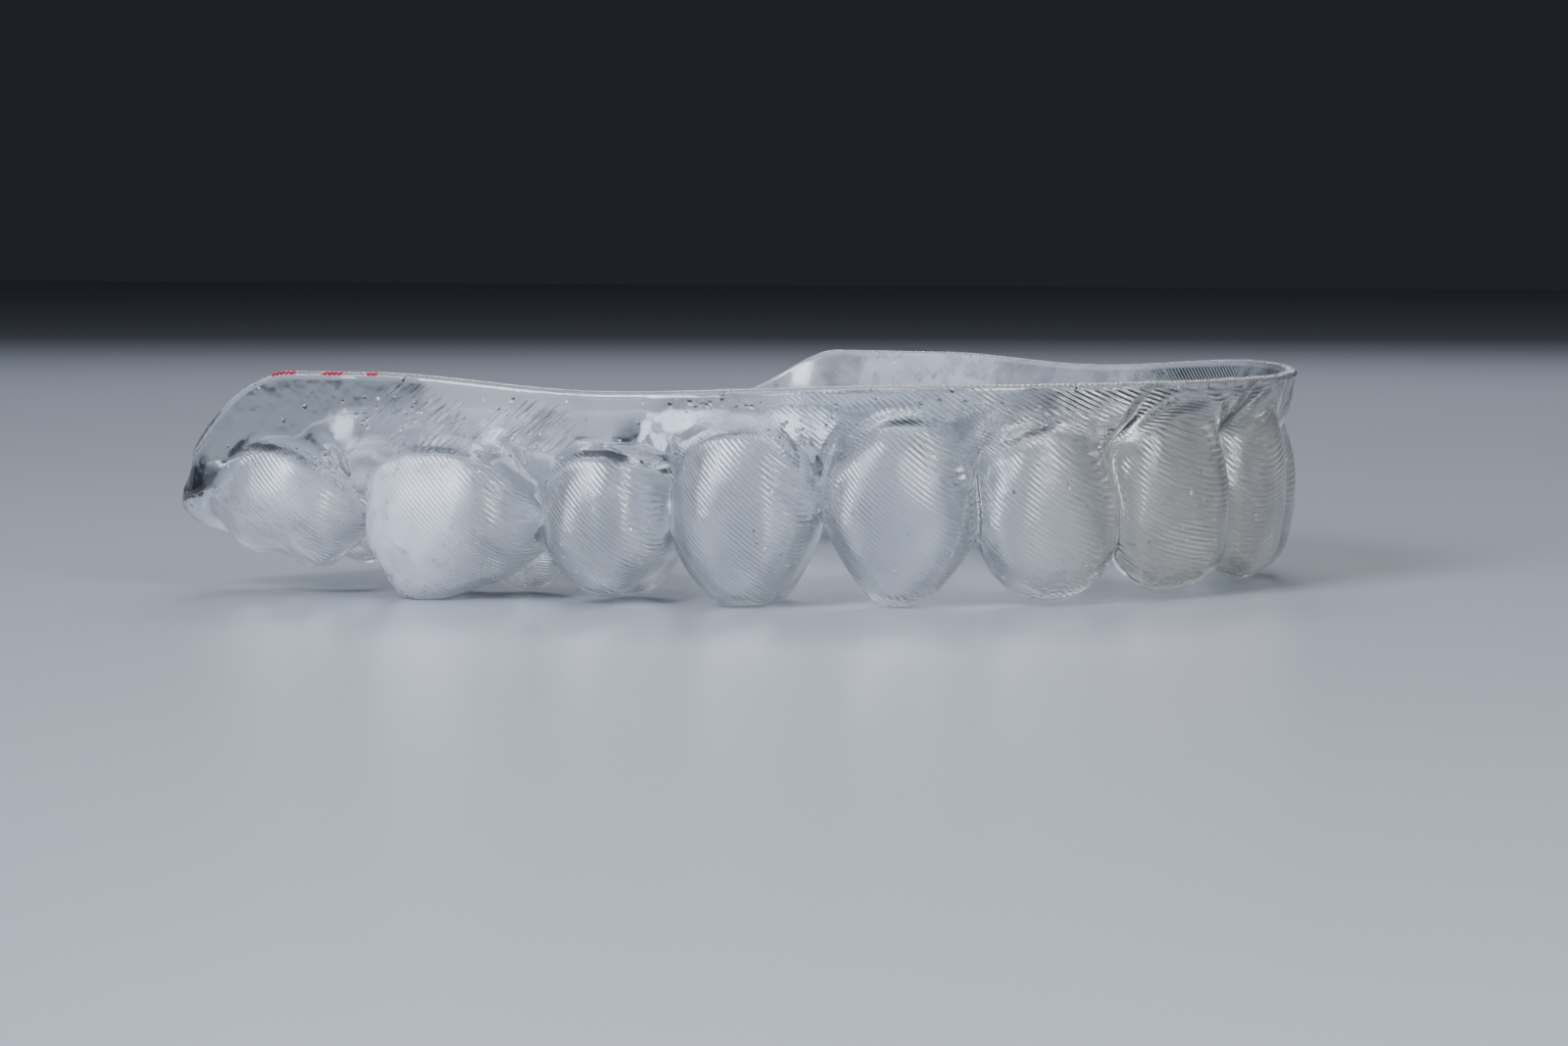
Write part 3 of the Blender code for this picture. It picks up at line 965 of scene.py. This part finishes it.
@dataclass(frozen=True)
class FormedSheet:
    """The shell: an outer face, an inner face one wall away, and a rounded edge between them."""

    name: str
    row: ToothRow
    gum: GumBand
    marks: Marks
    finishes: dict[Face, SheetFinish | EdgeFinish]
    halves: tuple[Half, ...] = (RIGHT_HALF, LEFT_HALF)
    wall: float = 0.7 * MM
    edge_round: float = 0.16 * MM
    rest_round: float = 0.5 * MM
    margin_smoothing: float = 0.55 * MM
    smoothing_passes: int = 3
    skin_blend: float = 0.25 * MM
    inner_smoothing: float = 0.4
    weld: float = 0.002 * MM
    # The frame centres the part front to back, which puts the front of the arch curve here
    front_y: float = 24.6365 * MM
    side_columns: int = 228
    end_columns: int = 36
    wall_rows: int = 25
    bite_rows: int = 20
    edge_rows: int = 4
    ray_length: float = 13.0 * MM
    ray_steps: int = 52
    halvings: int = 14

    def columns(self) -> tuple[np.ndarray, np.ndarray]:
        """The columns of one half: back along the cheek side, round the end and home inside.

        Returns:
            Arc length of each column, and its turn from the cheek side to the tongue side.
        """
        end = self.row.length() - self.row.crowns[-1].inner_reach[1] / 2
        out = np.linspace(0.0, end, self.side_columns + 1)
        turn = np.linspace(0.0, math.pi, self.end_columns + 1)[1:-1]
        place = np.concatenate((out, np.full(turn.size, end), out[::-1]))
        angle = np.concatenate((np.zeros(out.size), turn, np.full(out.size, math.pi)))
        return place, angle

    def outer_face(
        self, half: Half, place: np.ndarray, angle: np.ndarray
    ) -> tuple[np.ndarray, np.ndarray]:
        """The outer face of one half.

        Args:
            half: Which half.
            place: Arc length of each column.
            angle: Its turn.

        Returns:
            Points from the trimmed edge down to the middle line of each column, and how far each
            point lies in a crown's silvery window.
        """
        table = self.row.arch.table()
        point, outward = self.row.arch.at(table, place)
        origin = point - outward * self.row.arch.inset(place)[:, None]
        forward = np.stack((outward[:, 1], -outward[:, 0]), axis=1)
        heading = outward * np.cos(angle)[:, None] + forward * np.sin(angle)[:, None]
        last_crown = self.row.crowns[-1]
        turn = math.pi * (last_crown.outer_reach[1] + last_crown.inner_reach[1]) / 2
        top = half.trim(place, angle, turn) - self.edge_round
        behind = self.row.length() - place.max() + half.behind
        falls = np.linspace(0.0, 1.0, self.wall_rows + 1)[:-1]
        bends = np.linspace(0.0, math.pi / 2, self.bite_rows + 1)
        start = top[:, None] * (1 - falls) + self.gum.turn_height * falls
        start = np.concatenate((start, np.full((place.size, bends.size), self.gum.turn_height)), axis=1)
        tilt = np.broadcast_to(np.concatenate((np.zeros(falls.size), bends)), start.shape)
        ray = np.linspace(0.0, self.ray_length, self.ray_steps + 1)

        def fields(length: np.ndarray) -> tuple[np.ndarray, np.ndarray]:
            """Both fields along the rays.

            Args:
                length: Lengths along each column's rays.

            Returns:
                The crowns' field and the gum's field.
            """
            reach = length * np.cos(tilt)[..., None]
            height = start[..., None] - length * np.sin(tilt)[..., None]
            spot = origin[:, None, None] + reach[..., None] * heading[:, None, None]
            teeth = self.row.field(table, spot, height)
            gum = self.gum.field(place[:, None, None], angle[:, None, None], reach, height, behind)
            return teeth, gum

        inside = smooth_min(*fields(np.broadcast_to(ray, start.shape + ray.shape)), self.gum.blend) < 0.0
        last = ray.size - 1 - np.argmax(inside[..., ::-1], axis=-1)
        low = ray[last]
        high = ray[np.minimum(last + 1, ray.size - 1)]
        for _ in range(self.halvings):
            middle = (low + high) / 2
            solid = smooth_min(*fields(middle[..., None]), self.gum.blend)[..., 0] < 0.0
            low = np.where(solid, middle, low)
            high = np.where(solid, high, middle)
        teeth, gum = fields(low[..., None])
        crown = smooth_step((gum - teeth)[..., 0], -self.skin_blend, self.skin_blend)
        reach = low * np.cos(tilt)
        height = smooth_max(start - low * np.sin(tilt), np.zeros(tilt.shape), self.rest_round)
        spot = (origin[:, None] + reach[..., None] * heading[:, None]) * (half.side.value, 1.0)
        spot[..., 1] += self.front_y
        points = np.concatenate((spot, height[..., None]), axis=-1)
        margin = self.gum.margin(place, angle)[0][:, None]
        near = np.exp(-(((height - margin) / self.margin_smoothing) ** 2))
        crown = crown * self.row.window(place[:, None], height)
        return self.smoothed(points, near), crown

    def smoothed(self, points: np.ndarray, strength: np.ndarray) -> np.ndarray:
        """Even out the small steps that the rays leave where the gum hangs over a crown.

        Args:
            points: The grid of points of one half.
            strength: How far each point may move towards its neighbours' middle, from 0 to 1.

        Returns:
            The evened grid, with its border as it was.
        """
        for _ in range(self.smoothing_passes):
            middle = (points[:-2, 1:-1] + points[2:, 1:-1] + points[1:-1, :-2] + points[1:-1, 2:]) / 4
            inner = points[1:-1, 1:-1]
            points[1:-1, 1:-1] = inner + (middle - inner) * strength[1:-1, 1:-1, None]
        return points

    def cover(
        self, side: Side, place: np.ndarray, angle: np.ndarray, points: np.ndarray, crown: np.ndarray
    ) -> dict[str, np.ndarray]:
        """How strongly each mark covers each point.

        Args:
            side: Which half.
            place: Arc length of each column.
            angle: Its turn.
            points: Points of the half's outer face.
            crown: How far each point lies in a crown's window.

        Returns:
            One array for each attribute of the mesh: strengths, and the run along the arch.
        """
        run = np.broadcast_to(place[:, None], points.shape[:2])
        height = points[..., 2]
        cheek = np.where(angle < math.pi / 2, 1.0, 0.0)[:, None]
        groups = {
            "frost": self.marks.frost,
            "pits": self.marks.pits,
            "scratches": self.marks.scratches,
            "ink": self.marks.ink,
        }
        found = {}
        for name, patches in groups.items():
            total = sum(patch.cover(run, height) for patch in patches)
            found[name] = np.minimum(total, 1.0) * cheek
        found["crown"] = crown
        found["frost"] = found["frost"] * crown
        if side is Side.LEFT:
            found["ink"] = found["scratches"] = np.zeros(height.shape)
            # On the far half the frost mark also carries painted light: a chalky cloud standing in for the
            # light on the far arm.
            frost_and_painted_light_cloud = sum(patch.cover(run, height) for patch in self.marks.far_arm_painted_light)
            found["frost"] = self.marks.left_frost * found["frost"] + frost_and_painted_light_cloud
        else:
            frost_and_painted_light_cloud = sum(patch.cover(run, height) for patch in self.marks.band_frost) * cheek
            found["frost"] = np.minimum(found["frost"] + frost_and_painted_light_cloud, 1.0)
        front = 1.0 - smooth_step(run, self.marks.band_lines_end, self.marks.band_lines_start)
        found["lines"] = np.maximum(self.marks.band_lines * front * cheek, crown)
        found["tint"] = 1.0 - smooth_step(run, self.marks.tint_end, self.marks.tint_start)
        found["run"] = run * side.value
        return found

    def build(self) -> bpy.types.Object:
        """Lay both halves' grids, join them, and give them their wall and finishes.

        Returns:
            The finished shell, at the origin.
        """
        place, angle = self.columns()
        whole = bmesh.new()
        for half in self.halves:
            points, crown = self.outer_face(half, place, angle)
            columns, rows = points.shape[0] - 1, points.shape[1] - 1
            cover = self.cover(half.side, place, angle, points, crown)
            kept = whole.verts.layers.float
            layers = {name: kept.get(name) or kept.new(name) for name in cover}
            fresh = bmesh.ops.create_grid(whole, x_segments=columns, y_segments=rows, size=0.5)["verts"]
            for vertex in fresh:
                column = round((vertex.co.x + 0.5) * columns)
                row = round((vertex.co.y + 0.5) * rows)
                for name, layer in layers.items():
                    vertex[layer] = cover[name][column, row]
                vertex.co = points[column, row]
            if half.side is Side.LEFT:
                mirrored = list({face for vertex in fresh for face in vertex.link_faces})
                bmesh.ops.reverse_faces(whole, faces=mirrored)
        bmesh.ops.remove_doubles(whole, verts=whole.verts[:], dist=self.weld)
        self.add_wall(whole)
        mesh = bpy.data.meshes.new(self.name)
        whole.to_mesh(mesh)
        whole.free()
        mesh.shade_smooth()
        shell = bpy.data.objects.new(self.name, mesh)
        bpy.context.scene.collection.objects.link(shell)
        for face in Face:
            mesh.materials.append(self.finishes[face].material())
        return shell

    def add_wall(self, whole: bmesh.types.BMesh) -> None:
        """Give the outer face its inner face and a rounded edge.

        Args:
            whole: The outer face, open at the trimmed edge.
        """
        bmesh.ops.recalc_face_normals(whole, faces=whole.faces[:])
        whole.normal_update()
        lowest = min(whole.verts, key=lambda vertex: vertex.co.z)
        if lowest.normal.z > 0.0:
            bmesh.ops.reverse_faces(whole, faces=whole.faces[:])
            whole.normal_update()
        outer_verts = whole.verts[:]
        rim = [edge for edge in whole.edges if edge.is_boundary]
        copy = bmesh.ops.duplicate(whole, geom=whole.verts[:] + whole.edges[:] + whole.faces[:])
        twin = copy["vert_map"]
        inside = [item for item in copy["geom"] if isinstance(item, bmesh.types.BMFace)]
        for vertex in outer_verts:
            twin[vertex].co = vertex.co - vertex.normal * self.wall
        bmesh.ops.smooth_vert(
            whole,
            verts=[twin[vertex] for vertex in outer_verts],
            factor=self.inner_smoothing,
            use_axis_x=True,
            use_axis_y=True,
            use_axis_z=True,
        )
        bmesh.ops.reverse_faces(whole, faces=inside)
        for face in inside:
            face.material_index = Face.INSIDE.value
        rim_verts = dict.fromkeys(vertex for edge in rim for vertex in edge.verts)
        walls = {vertex: (vertex.co.copy(), twin[vertex].co.copy()) for vertex in rim_verts}
        ring, source = rim, {vertex: vertex for vertex in rim_verts}
        for step in range(1, self.edge_rows + 2):
            turn = math.pi * step / (self.edge_rows + 1)
            old_verts = {vertex for edge in ring for vertex in edge.verts}
            grown = bmesh.ops.extrude_edge_only(whole, edges=ring)["geom"]
            new_verts = dict.fromkeys(item for item in grown if isinstance(item, bmesh.types.BMVert))
            grown_edges = [item for item in grown if isinstance(item, bmesh.types.BMEdge)]
            new_edges = [edge for edge in grown_edges if all(vertex in new_verts for vertex in edge.verts)]
            next_source = {}
            lift = Vector((0.0, 0.0, self.edge_round * math.sin(turn)))
            for vertex in new_verts:
                others = (edge.other_vert(vertex) for edge in vertex.link_edges)
                old = next(other for other in others if other in old_verts)
                outer_wall, inner_wall = walls[source[old]]
                middle, half = (outer_wall + inner_wall) / 2, (outer_wall - inner_wall) / 2
                vertex.co = middle + half * math.cos(turn) + lift
                next_source[vertex] = source[old]
            for item in grown:
                if isinstance(item, bmesh.types.BMFace):
                    item.material_index = Face.EDGE.value
            ring, source = new_edges, next_source
        seam = list(source) + [twin[vertex] for vertex in rim_verts]
        bmesh.ops.remove_doubles(whole, verts=seam, dist=self.weld)


@dataclass(frozen=True)
class Softbox:
    """One studio light: where it stands from the object's middle, its size, power and colour."""

    name: str
    azimuth: float
    elevation: float
    distance: float
    size: tuple[float, float]
    power: float
    colour: str = "FFFFFF"


@dataclass(frozen=True)
class Studio:
    """A plain pale floor, a plain backdrop, soft lights, and the camera at the photo's angle."""

    lens: float = 96.5
    sensor: float = 36.0
    clip_start: float = 0.01
    pitch: float = 3.778
    heading: float = 32.6
    eye: tuple[float, ...] = mm(208.65, 130.04, 19.18)
    # Painted board with a satin lacquer: pale, even, and with a soft sheen under the aligner
    floor_name: str = "satin_lacquered_board"
    floor_colour: str = "A0A4AA"
    floor_roughness: float = 0.28
    floor_size: float = 3.0
    world_colour: str = "24272C"
    world_strength: float = 1.0
    lights: tuple[Softbox, ...] = (
        Softbox("key", 84.0, 27.0, 0.5, (0.18, 0.34), 5.2, "E6EDFF"),
        Softbox("fill", 158.0, 22.0, 0.5, (0.09, 0.30), 1.6, "F6F9FF"),
        Softbox("top", 122.0, 80.0, 0.5, (0.34, 0.22), 0.6, "F6F8FF"),
        Softbox("back", 296.0, 38.0, 0.5, (0.40, 0.16), 1.6, "EEF3FF"),
    )

    def camera(self) -> None:
        """The camera, level with the photo's."""
        lens = bpy.data.cameras.new("camera")
        lens.lens = self.lens
        lens.sensor_width = self.sensor
        lens.clip_start = self.clip_start
        eye = bpy.data.objects.new("camera", lens)
        turn, pitch = math.radians(self.heading), math.radians(self.pitch)
        level = math.cos(pitch)
        look = Vector((-math.cos(turn) * level, -math.sin(turn) * level, -math.sin(pitch)))
        eye.location = self.eye
        eye.rotation_euler = look.to_track_quat("-Z", "Y").to_euler()
        bpy.context.scene.collection.objects.link(eye)
        bpy.context.scene.camera = eye

    def floor(self) -> None:
        """The floor: a pale satin board."""
        plane = bmesh.new()
        bmesh.ops.create_grid(plane, x_segments=1, y_segments=1, size=self.floor_size / 2)
        mesh = bpy.data.meshes.new("floor")
        plane.to_mesh(mesh)
        plane.free()
        board = bpy.data.objects.new("floor", mesh)
        bpy.context.scene.collection.objects.link(board)
        material = bpy.data.materials.new(self.floor_name)
        material.use_nodes = True
        shader = material.node_tree.nodes["Principled BSDF"]
        shader.inputs["Base Color"].default_value = linear(self.floor_colour)
        shader.inputs["Roughness"].default_value = self.floor_roughness
        mesh.materials.append(material)

    def light(self) -> None:
        """The softboxes and the even light from all round."""
        for box in self.lights:
            lamp = bpy.data.lights.new(box.name, "AREA")
            lamp.shape = "RECTANGLE"
            lamp.size, lamp.size_y = box.size
            lamp.energy = box.power
            lamp.color = linear(box.colour)[:3]
            stand = bpy.data.objects.new(box.name, lamp)
            turn, lift = math.radians(box.azimuth), math.radians(box.elevation)
            level = math.cos(lift)
            away = Vector((math.sin(turn) * level, -math.cos(turn) * level, math.sin(lift)))
            stand.location = away * box.distance
            stand.rotation_euler = (-away).to_track_quat("-Z", "Y").to_euler()
            bpy.context.scene.collection.objects.link(stand)
        world = bpy.data.worlds.new("studio")
        world.use_nodes = True
        background = world.node_tree.nodes["Background"]
        background.inputs["Color"].default_value = linear(self.world_colour)
        background.inputs["Strength"].default_value = self.world_strength
        bpy.context.scene.world = world

    def depth(self) -> None:
        """Enough bounces for light to cross four walls of the clear sheet."""
        cycles = bpy.context.scene.cycles
        cycles.max_bounces = 20
        cycles.transmission_bounces = 16
        cycles.glossy_bounces = 8
        cycles.diffuse_bounces = 4
        cycles.caustics_reflective = True
        cycles.caustics_refractive = True

    def build(self) -> None:
        """The whole studio."""
        self.camera()
        self.floor()
        self.light()
        self.depth()


def main() -> None:
    """Build the sheet and its studio."""
    logging.basicConfig(level=logging.INFO, format="%(message)s")
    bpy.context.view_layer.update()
    Studio().build()
    row = ToothRow(Arch())
    finishes = {
        # Copolyester sheet drawn over a printed model: clear as glass, with silvery crowns in fine lines
        Face.OUTSIDE: SheetFinish("thermoformed_copolyester_outside"),
        # The side that lay on the printed model: deeper lines and duller crowns, which blur what is behind
        Face.INSIDE: SheetFinish(
            "thermoformed_copolyester_inside",
            roughness=0.08,
            crown_roughness=0.18,
            crown_haze=0.1,
            frost_haze=0.33,
            layer_depth=0.016 * MM,
            dust_share=0.0,
        ),
        # Cut with a bur and left as it was: ribbed and a little dull, so it shows as a thin pale line
        Face.EDGE: EdgeFinish("trimmed_copolyester_edge"),
    }
    shell = FormedSheet("formed_sheet", row, GumBand(row), Marks(), finishes).build()
    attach(shell, "root")
    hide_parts("aligner_shell")
    LOG.info("%s: %d faces", shell.name, len(shell.data.polygons))


if __name__ == "__main__":
    main()
